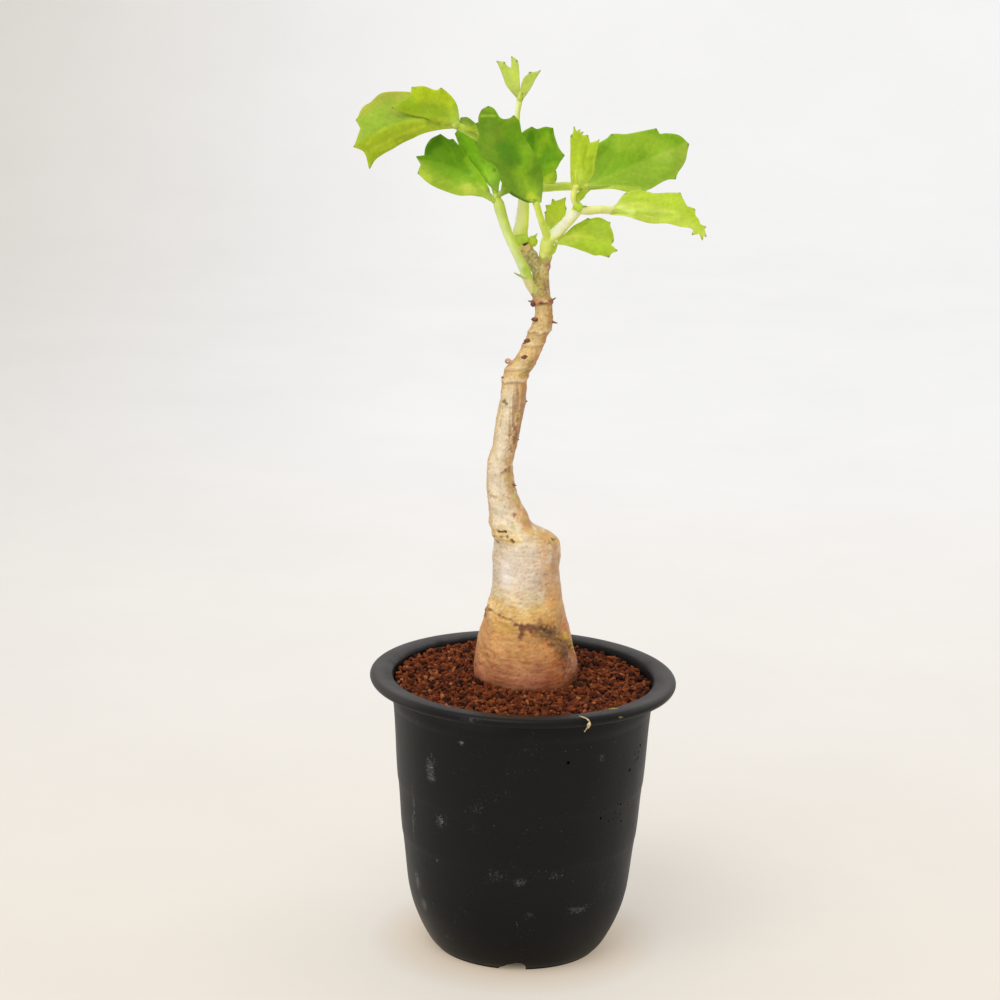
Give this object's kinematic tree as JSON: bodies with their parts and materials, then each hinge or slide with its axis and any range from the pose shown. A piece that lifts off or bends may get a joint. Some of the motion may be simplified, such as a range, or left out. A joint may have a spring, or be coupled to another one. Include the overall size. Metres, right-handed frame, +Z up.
{
  "type": "potted caudex plant",
  "caption": "Young caudex plant with a swollen base, a bare crooked stem and a crown of toothed fleshy leaves, standing in a round plastic nursery pot filled with clay grains.",
  "frame": {"origin": "on the ground, where the pot's axis meets it", "axes": "+Z up along the pot's axis, +X to the plant's right as seen from the front, +Y to the back"},
  "size_m": [0.1165, 0.105, 0.309],
  "materials": {
    "pot_plastic": "satin",
    "baked_clay": "matte",
    "bark": "matte",
    "green_shoot": "satin",
    "young_leaf": "satin",
    "grown_leaf": "satin",
    "front_leaf": "satin"
  },
  "bodies": {
    "root": {"pot": "pot_plastic", "soil": "baked_clay", "caudex": "bark", "shoot_middle": "green_shoot", "shoot_right": "green_shoot", "leaf_low_left": "grown_leaf", "leaf_upper_left": "young_leaf", "leaf_far_right": "grown_leaf", "leaf_front": "front_leaf", "leaf_upright": "young_leaf", "leaf_right": "young_leaf", "leaf_low_right": "young_leaf", "leaf_small": "young_leaf", "leaf_tip": "young_leaf"}
  },
  "joints": []
}
